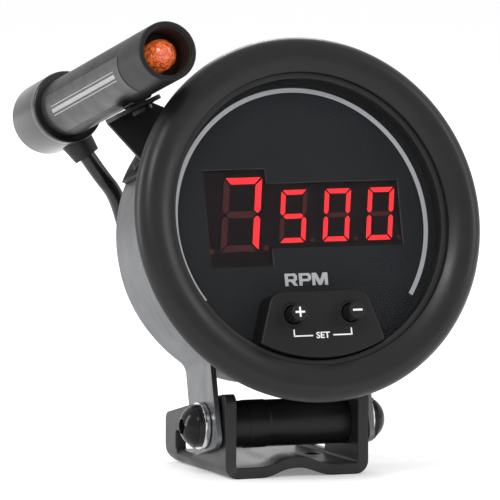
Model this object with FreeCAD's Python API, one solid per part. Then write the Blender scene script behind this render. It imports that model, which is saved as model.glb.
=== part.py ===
"""Pedestal tachometer: a round digital head in a steel clamp strap that tilts on a U-shaped base,
with two setting buttons on its face and a tube shift light on a bracket.

Millimetres. World frame: +Z up, +Y to the rear, +X to the viewer's right, origin at the middle of
the base's underside. The head is drawn in its own frame, with the dial's front face at y = 0, y to
the rear and z up along the dial, and is then tilted back about the strap's pivot screws.
"""
import FreeCAD, Part
import os
from math import acos, atan2, cos, degrees, hypot, pi, radians, sin, sqrt, tan

Vec = FreeCAD.Vector

# ---- base -------------------------------------------------------------------------------------
BASE_HALF_W = 20.6
BASE_LEN = 45.0
BASE_WALL = 3.0
BASE_CORNER_R = 3.6          # outer bend between floor and ear
RIB_HALF_W = 11.0            # raised rib along the middle of the floor
RIB_RISE = 2.4
EAR_FRONT_H = 23.3
EAR_REAR_H = 13.2
EAR_TOP_R = 2.4
EAR_REAR_LOW_R = 5.5
SLOT_FRONT = 1.0             # slot in each ear, measured from the middle of the base
SLOT_REAR = 14.8
SLOT_LOW = 4.0
SLOT_HIGH = 9.4
FOOT_HOLE_R = 2.15
FOOT_HOLE_X = 13.6

# ---- pivot ------------------------------------------------------------------------------------
PIVOT_Y = -11.6
PIVOT_Z = 13.5
TILT = 14.6                  # degrees that the head leans back at rest
SPACER_R = 6.35
SPACER_STEP_R = 6.5         # wrench flat band near the left end
SCREW_R = 3.1
SCREW_HEAD_R = 5.55
SCREW_HEAD_H = 3.4
SCREW_HEX_AF = 4.0
SCREW_HEX_DEPTH = 2.0
SCREW_GRIP = 8.0             # thread inside the spacer
FIT = 0.05                   # radial clearance of a running fit
RUN_GAP = 0.25               # side clearance beside the strap's legs
GLIDE_T = 0.5                # nylon glide washer between ear and leg
FLAT_WASHER_T = 1.4
LOCK_WASHER_T = 1.5
WASHER_R = 6.3

# ---- strap ------------------------------------------------------------------------------------
STRAP_T = 1.5
STRAP_W = 18.5
STRAP_BEND_R = 5.0           # middle of the sheet
LEG_END = 7.0                # leg below the pivot
LEG_CORNER_R = 3.0
LINER_T = 0.85
LINER_MARGIN = 1.0

# ---- head: axial places (y), radii (R) -----------------------------------------------------------
CUP_R = 37.3
CUP_WALL = 1.8
SPACER_CLEAR = 4.0           # between the strap and the spacer below it
HEAD_ABOVE_PIVOT = CUP_R + LINER_T + STRAP_T + SPACER_CLEAR + SPACER_R
DIAL_TO_PIVOT = 26.65
CUP_STRAIGHT = 40.0
CUP_REAR = 50.0
CUP_NECK_Y = 8.0
CUP_SHOULDER_RISE = 6.6      # the cup's mouth round dial and lens is this much wider
CUP_SHOULDER_R = CUP_R + CUP_SHOULDER_RISE
CUP_SHOULDER_Y = 1.5
FLANGE_RISE = 2.6
FLANGE_R = CUP_SHOULDER_R + FLANGE_RISE
FLANGE_FRONT = -4.6
FLANGE_T = 2.0
SEAT_GAP = 0.1               # assembly clearance round lens, dial and flange
LENS_R = CUP_SHOULDER_R - CUP_WALL - SEAT_GAP
LENS_FRONT = -5.2
LENS_T = 1.6
GASKET_W = 4.0               # shows as a thin black ring inside the bezel lip
GASKET_T = 0.8
BEZEL_RIM = 2.8              # bezel outside the flange
BEZEL_R = FLANGE_R + BEZEL_RIM
BEZEL_REAR_R = BEZEL_R - 1.7
BEZEL_REAR = -1.2
BEZEL_WIDE_Y = -5.6
BEZEL_FACE_R = BEZEL_R - 3.3
BEZEL_FACE_Y = -8.9
BEZEL_CREST_R = BEZEL_R - 6.0
BEZEL_CREST_Y = -9.3
BEZEL_LIP_R = LENS_R - 2.6
BEZEL_LIP_Y = -7.3
CRIMP_R = FLANGE_R - 0.9
DIAL_T = 1.0
DIAL_R = LENS_R - 0.5
WALL_FRONT_R = LENS_R - 2.9  # conical black wall between lens and dial
WALL_REAR_R = LENS_R - 3.5

# ---- display ------------------------------------------------------------------------------------
BIG_WIN_LEFT = -27.0
BIG_WIN_RIGHT = -8.85
BIG_WIN_LOW = -11.7
BIG_WIN_HIGH = 14.9
SMALL_WIN_RIGHT = 29.0
SMALL_WIN_LOW = -7.0
SMALL_WIN_HIGH = 10.9
FILTER_T = 1.2
FILTER_MARGIN = 1.5
MODULE_D = 8.0
MODULE_GAP = 0.1
MODULE_MARGIN = 0.5
SMALL_DIGITS = 3
BOARD_T = 1.6
BOARD_R = CUP_R - CUP_WALL - 2.0
MAIN_BOARD_Y = 24.0
STANDOFF_R = 2.6
STANDOFF_PITCH_R = BOARD_R - 4.0
STANDOFF_ANGLES = (45, 135, 225, 315)
SMALL_SCREW_R = 1.2
SMALL_SCREW_HEAD_R = 2.4
SMALL_SCREW_HEAD_H = 1.5
SMALL_SCREW_GRIP = 5.0

# ---- buttons ------------------------------------------------------------------------------------
POD_TOP = -7.8
POD_TOP_Z = -19.6
POD_TOP_HALF = 13.4
POD_LOW_HALF = 17.9
POD_LOW_R = LENS_R - GASKET_W - 0.3
POD_CORNER_R = 4.0
BUTTON_X = 8.2
BUTTON_Z = -26.0
BUTTON_R = 2.3
BUTTON_PROUD = 5.6
BUTTON_CLEAR = 0.3
BUTTON_STOP_R = 3.4
BUTTON_STOP_T = 1.0
BUTTON_TRAVEL = 0.8
BUTTON_EDGE_R = 0.35
PLUNGER_R = 1.7
SWITCH_W = 6.2
SWITCH_H = 3.5
SWITCH_BORE = 2.4
PLUNGER_IN = 1.1

# ---- rear fittings --------------------------------------------------------------------------------
GLAND_Z = -15.0
GLAND_R = 8.0
GLAND_BORE_R = 3.2
GLAND_PROUD = 4.5
GLAND_LIP_R = 9.5
GROMMET_X = -20.0
GROMMET_Z = -9.7
GROMMET_R = 3.6
GROMMET_LIP_R = 4.8
GROMMET_LIP_T = 1.2
GROMMET_PROUD = 1.6

# ---- shift light ----------------------------------------------------------------------------------
DIAGONAL = BEZEL_R * sqrt(0.5)   # across and up to the bezel's outline at 45 degrees
LIGHT_X = -(DIAGONAL + 8.04)
LIGHT_Z = DIAGONAL + 7.99
LIGHT_FRONT = -23.7
TUBE_R = 8.05
TUBE_BORE_R = 6.7
TUBE_REAR = 60.0
TUBE_RIM_R = 0.55            # rounding of the front rim
COLLAR_FRONT = 54.5
COLLAR_T = 2.8
CAP_R = 10.0
CAP_REAR = 74.5
CAP_WALL = 1.8
CAP_DOME_R = 2.5
LED_R = 4.25
LED_FLANGE_R = 5.2
LED_DOME_Y = -17.8
LED_REAR = -11.0
LED_FLANGE_T = 1.2
HOLDER_T = 3.0
DRIVER_BOARD_W = 11.0
DRIVER_BOARD_LEN = 52.0
LABEL_T = 0.12
LABEL_FRONT = -7.0
LABEL_REAR = 50.5
LABEL_LOW_DEG = 166.0        # round the tube, 180 is the left side, 270 the bottom
LABEL_HIGH_DEG = 250.0
BOOT_Y = 63.5
BOOT_DEG = -58.5             # direction in which the boot leaves the cap
BOOT_ROOT_R = 4.5
BOOT_TIP_R = 3.7
BOOT_TIP = 14.4              # from the tube's centre line
BOOT_ROOT = 9.0
CABLE_R = 2.3
CABLE_LEAD = 6.6             # straight run out of the boot and into the grommet

# ---- shift light bracket ----------------------------------------------------------------------------
BRACKET_T = 1.2
TAB_FRONT = 15.0             # y of the tab's front face
TAB_TOP_LEFT = (-DIAGONAL - 11.74, DIAGONAL - 4.06)
TAB_TOP_RIGHT = (-DIAGONAL + 1.36, DIAGONAL + 1.34)
TAB_LOW_RIGHT_DEG = 126.5
TAB_LOW_LEFT_DEG = 153.5
FOOT_GAP = 0.05
SHELF_LEN = 11.0
SHELF_CORNER_R = 4.0
RELIEF_LEN = 2.3
RELIEF_H = 0.7
RELIEF_ALONG = 9.2           # from the tab's top left corner
SADDLE_GAP = 0.1
SADDLE_W = 6.0
SADDLE_LEN = 8.0
SADDLE_FRONT = 5.6
AIM_SCREW_R = 1.5
AIM_SCREW_Y = 9.6
AIM_HEAD_R = 2.9
AIM_HEAD_H = 1.2
AIM_BITE = 3.0
RIVET_R = 1.6
RIVET_HEAD_R = 2.8
RIVET_HEAD_H = 0.9
RIVET_DEGS = (133.0, 147.0)

# Turning points of the light's cable in the head's frame, between its two straight leads.
CABLE_TURNS = (
    (-27.45, 65.6, 20.5),
    (-23.65, 70.5, 13.55),
    (-22.1, 71.85, 5.65),
    (-21.1, 69.6, -1.65),
    (-20.3, 64.7, -6.95),
)

PIVOT_HEAD = Vec(0, DIAL_TO_PIVOT, -HEAD_ABOVE_PIVOT)
PIVOT_WORLD = Vec(0, PIVOT_Y, PIVOT_Z)
X_AXIS = Vec(1, 0, 0)
Y_AXIS = Vec(0, 1, 0)
Z_AXIS = Vec(0, 0, 1)
ORIGIN = Vec(0, 0, 0)


# ---- helpers ------------------------------------------------------------------------------------
def save(name, shape):
    """Write one node."""
    if not shape.isValid():
        raise RuntimeError(f"{name} is not a valid solid")
    shape.exportStep(f"parts/{name}.step")


def seat(shape):
    """Carry a shape from the head's frame to the world, tilted back about the pivot."""
    shape = shape.copy()
    shape.translate(-PIVOT_HEAD)
    shape.rotate(ORIGIN, X_AXIS, -TILT)
    shape.translate(PIVOT_WORLD)
    return shape


def save_head(name, shape):
    save(name, seat(shape))


def cylinder_y(r, y0, y1, x=0.0, z=0.0):
    """Cylinder along Y between two y values."""
    return Part.makeCylinder(r, y1 - y0, Vec(x, y0, z), Y_AXIS)


def cylinder_x(r, x0, x1, y=PIVOT_Y, z=PIVOT_Z):
    """Cylinder along X between two x values."""
    low = min(x0, x1)
    return Part.makeCylinder(r, abs(x1 - x0), Vec(low, y, z), X_AXIS)


def box(x0, x1, y0, y1, z0, z1):
    return Part.makeBox(x1 - x0, y1 - y0, z1 - z0, Vec(x0, y0, z0))


def polar(r, angle, y=0.0):
    """Point at a radius and an angle (degrees) round the head's axis."""
    return Vec(r * cos(radians(angle)), y, r * sin(radians(angle)))


def line(a, b):
    return Part.LineSegment(a, b).toShape()


def arc(a, middle, b):
    return Part.Arc(a, middle, b).toShape()


def face_of(edges):
    return Part.Face(Part.Wire(edges))


def polygon(points):
    return Part.Face(Part.makePolygon(list(points) + [points[0]]))


def revolve_y(points, x=0.0, z=0.0):
    """Solid of revolution round the Y direction from (radius, y) points."""
    face = polygon([Vec(r, y, 0) for r, y in points])
    solid = face.revolve(ORIGIN, Y_AXIS, 360)
    solid.translate(Vec(x, 0, z))
    return solid


def group(shapes):
    return Part.makeCompound(shapes)


def round_edges(shape, radius, wanted):
    """Fillet the edges whose middle point passes the test."""
    edges = [e for e in shape.Edges if wanted(e)]
    return shape.makeFillet(radius, edges)


def middle(edge):
    return edge.valueAt((edge.FirstParameter + edge.LastParameter) / 2)


# ---- base pieces --------------------------------------------------------------------------------
def rib_run(sign, floor_z):
    """Two tangent arcs from the flat floor up to the rib's crest, on one side."""
    half_run = RIB_HALF_W / 2
    half_rise = RIB_RISE / 2
    radius = (half_run ** 2 + half_rise ** 2) / (2 * half_rise)
    half_turn = atan2(half_run, radius - half_rise) / 2
    low_mid = Vec(sign * (RIB_HALF_W - radius * sin(half_turn)), 0, floor_z + radius * (1 - cos(half_turn)))
    high_mid = Vec(sign * radius * sin(half_turn), 0, floor_z + RIB_RISE - radius * (1 - cos(half_turn)))
    foot = Vec(sign * RIB_HALF_W, 0, floor_z)
    waist = Vec(sign * half_run, 0, floor_z + half_rise)
    crest = Vec(0, 0, floor_z + RIB_RISE)
    return arc(foot, low_mid, waist), arc(waist, high_mid, crest)


def base_section():
    """Cross-section of the U channel with the rib pressed up in its floor."""
    top = EAR_FRONT_H + 1
    outer = BASE_HALF_W
    inner = BASE_HALF_W - BASE_WALL
    corner = BASE_CORNER_R
    bend = corner * (1 - sqrt(0.5))
    inner_r = corner - BASE_WALL
    inner_bend = inner_r * (1 - sqrt(0.5))
    left_low, left_high = rib_run(-1, 0)
    right_low, right_high = rib_run(1, 0)
    in_left_low, in_left_high = rib_run(-1, BASE_WALL)
    in_right_low, in_right_high = rib_run(1, BASE_WALL)
    return face_of([
        line(Vec(-outer, 0, top), Vec(-outer, 0, corner)),
        arc(Vec(-outer, 0, corner), Vec(-outer + bend, 0, bend), Vec(-outer + corner, 0, 0)),
        line(Vec(-outer + corner, 0, 0), Vec(-RIB_HALF_W, 0, 0)),
        left_low, left_high, right_high, right_low,
        line(Vec(RIB_HALF_W, 0, 0), Vec(outer - corner, 0, 0)),
        arc(Vec(outer - corner, 0, 0), Vec(outer - bend, 0, bend), Vec(outer, 0, corner)),
        line(Vec(outer, 0, corner), Vec(outer, 0, top)),
        line(Vec(outer, 0, top), Vec(inner, 0, top)),
        line(Vec(inner, 0, top), Vec(inner, 0, BASE_WALL + inner_r)),
        arc(Vec(inner, 0, BASE_WALL + inner_r), Vec(inner - inner_bend, 0, BASE_WALL + inner_bend),
            Vec(inner - inner_r, 0, BASE_WALL)),
        line(Vec(inner - inner_r, 0, BASE_WALL), Vec(RIB_HALF_W, 0, BASE_WALL)),
        in_right_low, in_right_high, in_left_high, in_left_low,
        line(Vec(-RIB_HALF_W, 0, BASE_WALL), Vec(-inner + inner_r, 0, BASE_WALL)),
        arc(Vec(-inner + inner_r, 0, BASE_WALL), Vec(-inner + inner_bend, 0, BASE_WALL + inner_bend),
            Vec(-inner, 0, BASE_WALL + inner_r)),
        line(Vec(-inner, 0, BASE_WALL + inner_r), Vec(-inner, 0, top)),
        line(Vec(-inner, 0, top), Vec(-outer, 0, top)),
    ])


def ear_profile():
    """Side outline of the base, as a slab to intersect with the channel."""
    front = -BASE_LEN / 2
    rear = BASE_LEN / 2
    wide = 2 * BASE_HALF_W + 10
    outline = polygon([
        Vec(-wide / 2, front, 0), Vec(-wide / 2, rear, 0),
        Vec(-wide / 2, rear, EAR_REAR_H), Vec(-wide / 2, front, EAR_FRONT_H),
    ])
    slab = outline.extrude(Vec(wide, 0, 0))
    slab = round_edges(slab, EAR_TOP_R,
                       lambda e: abs(e.tangentAt(e.FirstParameter).x) > 0.9 and middle(e).z > EAR_REAR_H - 1)
    return round_edges(slab, EAR_REAR_LOW_R,
                       lambda e: abs(e.tangentAt(e.FirstParameter).x) > 0.9
                       and middle(e).z < 0.1 and middle(e).y > 0)


def ear_slots():
    """Rounded slot through both ears behind the pivot, with its lower lip chamfered outward."""
    wide = 2 * BASE_HALF_W + 10
    slot = box(-wide / 2, wide / 2, SLOT_FRONT, SLOT_REAR, SLOT_LOW, SLOT_HIGH)
    slot = round_edges(slot, 1.0, lambda e: abs(e.tangentAt(e.FirstParameter).x) > 0.9)
    cuts = [slot]
    lip = BASE_WALL * 0.6
    for sign in (-1, 1):
        outer = sign * (BASE_HALF_W + 0.01)
        wedge = polygon([
            Vec(outer, SLOT_FRONT + 1, SLOT_LOW + 1), Vec(outer, SLOT_FRONT + 1, SLOT_LOW - lip * 0.7),
            Vec(outer - sign * lip, SLOT_FRONT + 1, SLOT_LOW + 1),
        ])
        cuts.append(wedge.extrude(Vec(0, SLOT_REAR - SLOT_FRONT - 2, 0)))
    return cuts


def base_bracket():
    channel = base_section().extrude(Vec(0, BASE_LEN, 0))
    channel.translate(Vec(0, -BASE_LEN / 2, 0))
    body = channel.common(ear_profile())
    body = body.cut(cylinder_x(SCREW_R + FIT, -BASE_HALF_W - 1, BASE_HALF_W + 1))
    for cut in ear_slots():
        body = body.cut(cut)
    for sign in (-1, 1):
        hole = Part.makeCylinder(FOOT_HOLE_R, 2 * BASE_WALL, Vec(sign * FOOT_HOLE_X, 0, -BASE_WALL / 2))
        body = body.cut(hole)
    return body.removeSplitter()


def pivot_spacer():
    """Threaded sleeve that the two pivot screws pull the ears against."""
    end = BASE_HALF_W - BASE_WALL
    sleeve = cylinder_x(SPACER_R, -end, end)
    band = cylinder_x(SPACER_STEP_R, -end + 6, -end + 12)
    bore = cylinder_x(SCREW_R, -end, end)
    return sleeve.fuse(band).cut(bore).removeSplitter()


def stack_places():
    """Distances from the middle, along X, of each layer of the pivot stack."""
    glide = BASE_HALF_W
    leg_in = glide + GLIDE_T + RUN_GAP
    leg_out = leg_in + STRAP_T
    flat = leg_out + RUN_GAP
    lock = flat + FLAT_WASHER_T
    head = lock + LOCK_WASHER_T
    return glide, leg_in, leg_out, flat, lock, head


def washer(sign, start, thickness, radius):
    ring = cylinder_x(radius, sign * start, sign * (start + thickness))
    return ring.cut(cylinder_x(SCREW_R + FIT, sign * (start - 1), sign * (start + thickness + 1)))


def button_head_screw(sign):
    """Domed socket screw: shank, domed head and a hexagon socket."""
    glide, leg_in, leg_out, flat, lock, head = stack_places()
    end = BASE_HALF_W - BASE_WALL
    shank = cylinder_x(SCREW_R, sign * (end - SCREW_GRIP), sign * head)
    dome_r = (SCREW_HEAD_R ** 2 + SCREW_HEAD_H ** 2) / (2 * SCREW_HEAD_H)
    ball_x = sign * (head + SCREW_HEAD_H - dome_r)
    ball = Part.makeSphere(dome_r, Vec(ball_x, PIVOT_Y, PIVOT_Z))
    dome = ball.common(cylinder_x(SCREW_HEAD_R, sign * head, sign * (head + SCREW_HEAD_H)))
    corner = SCREW_HEX_AF / sqrt(3)
    outer = sign * (head + SCREW_HEAD_H + 1)
    points = [Vec(outer, PIVOT_Y + corner * cos(k * pi / 3), PIVOT_Z + corner * sin(k * pi / 3)) for k in range(6)]
    socket = polygon(points).extrude(Vec(-sign * (SCREW_HEX_DEPTH + 1), 0, 0))
    return shank.fuse(dome).cut(socket).removeSplitter()


def lock_washer(sign, start):
    """Split ring: a washer with a narrow slanted gap."""
    ring = washer(sign, start, LOCK_WASHER_T, WASHER_R - 0.5)
    slit = Part.makeBox(LOCK_WASHER_T + 2, WASHER_R + 2, 0.8,
                        Vec(min(sign * start, sign * (start + LOCK_WASHER_T)) - 1, PIVOT_Y, PIVOT_Z - 0.4))
    slit.rotate(Vec(0, PIVOT_Y, PIVOT_Z), X_AXIS, 110)
    return ring.cut(slit)


def build_base():
    glide, leg_in, leg_out, flat, lock, head = stack_places()
    save("base_bracket", base_bracket())
    save("pivot_spacer", pivot_spacer())
    save("pivot_screws", group([button_head_screw(-1), button_head_screw(1)]))
    save("glide_washers", group([washer(s, glide, GLIDE_T, WASHER_R) for s in (-1, 1)]))
    save("flat_washers", group([washer(s, flat, FLAT_WASHER_T, WASHER_R) for s in (-1, 1)]))
    save("lock_washers", group([lock_washer(s, lock) for s in (-1, 1)]))


# ---- strap --------------------------------------------------------------------------------------
def strap_side(sign, radius, bend, leg_x):
    """Edges of one face of the strap on one side, from the top of the circle to the leg's end."""
    mid_r = CUP_R + LINER_T + STRAP_T / 2
    leg_mid = stack_places()[1] + STRAP_T / 2
    drop = degrees(acos((leg_mid + STRAP_BEND_R) / (mid_r + STRAP_BEND_R)))
    centre = Vec(-sign * (mid_r + STRAP_BEND_R) * cos(radians(drop)), 0,
                 -(mid_r + STRAP_BEND_R) * sin(radians(drop)))
    start = Vec(0, 0, radius)
    join = Vec(-sign * radius * cos(radians(drop)), 0, -radius * sin(radians(drop)))
    half = radians((90 - drop) / 2)
    over = Vec(-sign * radius * cos(half), 0, radius * sin(half))
    turn = radians(drop / 2)
    bend_mid = centre + Vec(sign * bend * cos(turn), 0, bend * sin(turn))
    bend_end = centre + Vec(sign * bend, 0, 0)
    leg_end = Vec(-sign * leg_x, 0, -HEAD_ABOVE_PIVOT - LEG_END)
    return [arc(start, over, join), arc(join, bend_mid, bend_end), line(bend_end, leg_end)], leg_end


def strap():
    inner_r = CUP_R + LINER_T
    leg_in = stack_places()[1]
    leg_out = leg_in + STRAP_T
    outer_bend = STRAP_BEND_R - STRAP_T / 2
    inner_bend = STRAP_BEND_R + STRAP_T / 2
    edges = []
    for sign in (1, -1):
        outside, out_end = strap_side(sign, inner_r + STRAP_T, outer_bend, leg_out)
        inside, in_end = strap_side(sign, inner_r, inner_bend, leg_in)
        edges += outside + inside + [line(out_end, in_end)]
    wire = Part.Wire(Part.sortEdges(edges)[0])
    band = Part.Face(wire).extrude(Vec(0, STRAP_W, 0))
    band.translate(Vec(0, DIAL_TO_PIVOT - STRAP_W / 2, 0))
    low = -HEAD_ABOVE_PIVOT - LEG_END
    band = round_edges(band, LEG_CORNER_R,
                       lambda e: abs(e.tangentAt(e.FirstParameter).x) > 0.9 and abs(middle(e).z - low) < 0.1)
    hole = cylinder_x(SCREW_R + FIT, -leg_out - 1, leg_out + 1, DIAL_TO_PIVOT, -HEAD_ABOVE_PIVOT)
    band = band.cut(hole)
    for angle in RIVET_DEGS:
        band = band.cut(rivet_bore(angle))
    return band


def liner():
    """Rubber lining between strap and cup, over the strap's round part."""
    y0 = DIAL_TO_PIVOT - STRAP_W / 2 + LINER_MARGIN
    y1 = y0 + STRAP_W - 2 * LINER_MARGIN
    ring = cylinder_y(CUP_R + LINER_T, y0, y1).cut(cylinder_y(CUP_R, y0, y1))
    reach = 2 * CUP_R
    mouth = polygon([Vec(0, y0, 0), polar(reach, -50, y0), polar(reach, -90, y0), polar(reach, -130, y0)])
    return ring.cut(mouth.extrude(Vec(0, y1 - y0, 0)))


# ---- head shell ---------------------------------------------------------------------------------
def cup_outline():
    """Closed (radius, y) outline of the cup as edges, in the plane z = 0."""
    inner = CUP_R - CUP_WALL
    seat_r = LENS_R + SEAT_GAP
    corner = CUP_REAR - CUP_STRAIGHT
    flat = CUP_R - corner
    floor = CUP_REAR - CUP_WALL
    slope = sqrt(0.5)
    outer_mid = Vec(flat + corner * slope, CUP_STRAIGHT + corner * slope, 0)
    inner_corner = corner - CUP_WALL
    inner_mid = Vec(flat + inner_corner * slope, CUP_STRAIGHT + inner_corner * slope, 0)
    walls = [
        (seat_r, DIAL_T), (seat_r, FLANGE_FRONT), (FLANGE_R, FLANGE_FRONT), (FLANGE_R, FLANGE_FRONT + FLANGE_T),
        (CUP_SHOULDER_R, FLANGE_FRONT + FLANGE_T), (CUP_SHOULDER_R, CUP_SHOULDER_Y), (CUP_R, CUP_NECK_Y),
        (CUP_R, CUP_STRAIGHT),
    ]
    points = [Vec(r, y, 0) for r, y in walls]
    edges = [line(a, b) for a, b in zip(points, points[1:])]
    edges.append(arc(Vec(CUP_R, CUP_STRAIGHT, 0), outer_mid, Vec(flat, CUP_REAR, 0)))
    edges.append(line(Vec(flat, CUP_REAR, 0), Vec(0, CUP_REAR, 0)))
    edges.append(line(Vec(0, CUP_REAR, 0), Vec(0, floor, 0)))
    edges.append(line(Vec(0, floor, 0), Vec(flat, floor, 0)))
    edges.append(arc(Vec(flat, floor, 0), inner_mid, Vec(inner, CUP_STRAIGHT, 0)))
    edges.append(line(Vec(inner, CUP_STRAIGHT, 0), Vec(inner, DIAL_T, 0)))
    edges.append(line(Vec(inner, DIAL_T, 0), Vec(seat_r, DIAL_T, 0)))
    return edges


def cup():
    shell = face_of(cup_outline()).revolve(ORIGIN, Y_AXIS, 360)
    rear = CUP_REAR + 1
    inside = CUP_REAR - CUP_WALL - 1
    shell = shell.cut(cylinder_y(GLAND_R, inside, rear, 0, GLAND_Z))
    shell = shell.cut(cylinder_y(GROMMET_R, inside, rear, GROMMET_X, GROMMET_Z))
    for x, z in rear_screw_places():
        shell = shell.cut(cylinder_y(SMALL_SCREW_R + 0.3, inside, rear, x, z))
    return shell


def bezel():
    """Ring that holds lens and gasket and is crimped behind the cup's flange."""
    channel = FLANGE_R + 2 * SEAT_GAP
    pocket = LENS_R + 2 * SEAT_GAP
    flange_rear = FLANGE_FRONT + FLANGE_T + 2 * SEAT_GAP
    lip_rear = LENS_FRONT - GASKET_T
    start = Vec(BEZEL_REAR_R, BEZEL_REAR, 0)
    wide = Vec(BEZEL_R, BEZEL_WIDE_Y, 0)
    face = Vec(BEZEL_FACE_R, BEZEL_FACE_Y, 0)
    bulge = Vec(BEZEL_R - 0.75, (BEZEL_WIDE_Y + BEZEL_FACE_Y) / 2 - 0.75, 0)
    rest = [
        (BEZEL_CREST_R, BEZEL_CREST_Y), (BEZEL_LIP_R + 0.6, BEZEL_LIP_Y - 0.3), (BEZEL_LIP_R, BEZEL_LIP_Y + 0.3),
        (BEZEL_LIP_R, lip_rear), (pocket, lip_rear), (pocket, FLANGE_FRONT - SEAT_GAP),
        (channel, FLANGE_FRONT - SEAT_GAP), (channel, flange_rear), (CRIMP_R, flange_rear), (CRIMP_R, BEZEL_REAR),
    ]
    points = [face] + [Vec(r, y, 0) for r, y in rest] + [start]
    edges = [line(start, wide), arc(wide, bulge, face)]
    edges += [line(a, b) for a, b in zip(points, points[1:])]
    return face_of(edges).revolve(ORIGIN, Y_AXIS, 360)


def pod_outline(grow):
    """Face of the button pod's outline at y = 0, grown by a clearance."""
    low_r = POD_LOW_R + grow
    low_half = POD_LOW_HALF + grow
    top_half = POD_TOP_HALF + grow
    top_z = POD_TOP_Z + grow
    low_z = -sqrt(low_r ** 2 - low_half ** 2)
    left_low = Vec(-low_half, 0, low_z)
    right_low = Vec(low_half, 0, low_z)
    left_top = Vec(-top_half, 0, top_z)
    right_top = Vec(top_half, 0, top_z)
    return face_of([
        arc(left_low, Vec(0, 0, -low_r), right_low), line(right_low, right_top),
        line(right_top, left_top), line(left_top, left_low),
    ])


def pod_prism(grow, y0, y1):
    prism = pod_outline(grow).extrude(Vec(0, y1 - y0, 0))
    prism.translate(Vec(0, y0, 0))
    return round_edges(prism, POD_CORNER_R + grow,
                       lambda e: abs(e.tangentAt(e.FirstParameter).y) > 0.9 and middle(e).z > POD_TOP_Z - 2)


def button_places():
    return ((-BUTTON_X, BUTTON_Z), (BUTTON_X, BUTTON_Z))


def button_pod():
    pod = pod_prism(0.0, POD_TOP, 0.0)
    pod = round_edges(pod, 0.6, lambda e: abs(middle(e).y - POD_TOP) < 0.01)
    for x, z in button_places():
        boss = revolve_y([(0, POD_TOP + 0.5), (BUTTON_R + 1.2, POD_TOP + 0.5), (BUTTON_R + 1.2, POD_TOP),
                          (BUTTON_R + 0.7, POD_TOP - 0.7), (0, POD_TOP - 0.7)], x, z)
        pod = pod.fuse(boss)
    for x, z in button_places():
        pod = pod.cut(cylinder_y(BUTTON_R + BUTTON_CLEAR, POD_TOP - 2, 1, x, z))
    return pod.removeSplitter()


def lens():
    disc = cylinder_y(LENS_R, LENS_FRONT, LENS_FRONT + LENS_T)
    return disc.cut(pod_prism(BUTTON_CLEAR, LENS_FRONT - 1, LENS_FRONT + LENS_T + 1))


def gasket():
    outer = LENS_R
    return revolve_y([(outer - GASKET_W, LENS_FRONT - GASKET_T), (outer, LENS_FRONT - GASKET_T),
                      (outer, LENS_FRONT), (outer - GASKET_W, LENS_FRONT)])


def inner_wall():
    """Black conical ring between lens and dial."""
    front = LENS_FRONT + LENS_T
    return revolve_y([(WALL_FRONT_R, front), (LENS_R, front), (LENS_R, 0), (WALL_REAR_R, 0)])


def window_box(y0, y1, grow):
    """The stepped window's two rectangles, grown on every side."""
    big = box(BIG_WIN_LEFT - grow, BIG_WIN_RIGHT + grow, y0, y1, BIG_WIN_LOW - grow, BIG_WIN_HIGH + grow)
    small = box(BIG_WIN_RIGHT - grow, SMALL_WIN_RIGHT + grow, y0, y1, SMALL_WIN_LOW - grow, SMALL_WIN_HIGH + grow)
    return big.fuse(small).removeSplitter()


def dial_face():
    disc = cylinder_y(DIAL_R, 0, DIAL_T)
    disc = disc.cut(window_box(-1, DIAL_T + 1, 0))
    for x, z in button_places():
        disc = disc.cut(cylinder_y(BUTTON_R + BUTTON_CLEAR, -1, DIAL_T + 1, x, z))
    return disc


# ---- display ------------------------------------------------------------------------------------
def window_filter():
    return window_box(DIAL_T, DIAL_T + FILTER_T, FILTER_MARGIN)


def module_span():
    front = DIAL_T + FILTER_T + MODULE_GAP
    return front, front + MODULE_D


def big_digit():
    y0, y1 = module_span()
    return box(BIG_WIN_LEFT + MODULE_GAP, BIG_WIN_RIGHT - MODULE_GAP, y0, y1,
               BIG_WIN_LOW - MODULE_MARGIN, BIG_WIN_HIGH + MODULE_MARGIN)


def small_digits():
    y0, y1 = module_span()
    pitch = (SMALL_WIN_RIGHT - BIG_WIN_RIGHT) / SMALL_DIGITS
    solids = []
    for k in range(SMALL_DIGITS):
        left = BIG_WIN_RIGHT + k * pitch
        solids.append(box(left + MODULE_GAP, left + pitch - MODULE_GAP, y0, y1,
                          SMALL_WIN_LOW - MODULE_MARGIN, SMALL_WIN_HIGH + MODULE_MARGIN))
    return group(solids)


def standoff_places():
    return [(STANDOFF_PITCH_R * cos(radians(a)), STANDOFF_PITCH_R * sin(radians(a))) for a in STANDOFF_ANGLES]


def rear_screw_places():
    """The rear screws stand inside the cup's flat rear."""
    pitch = CUP_R - (CUP_REAR - CUP_STRAIGHT) - 3.5
    return [(pitch * cos(radians(a)), pitch * sin(radians(a))) for a in STANDOFF_ANGLES]


def board(y0):
    disc = cylinder_y(BOARD_R, y0, y0 + BOARD_T)
    for x, z in standoff_places():
        disc = disc.cut(cylinder_y(SMALL_SCREW_R + 0.2, y0 - 1, y0 + BOARD_T + 1, x, z))
    return disc


def standoffs(places, y0, y1):
    """Pillars tapped right through for the small screws."""
    solids = []
    for x, z in places:
        pillar = cylinder_y(STANDOFF_R, y0, y1, x, z)
        solids.append(pillar.cut(cylinder_y(SMALL_SCREW_R, y0 - 1, y1 + 1, x, z)))
    return group(solids)


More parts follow.
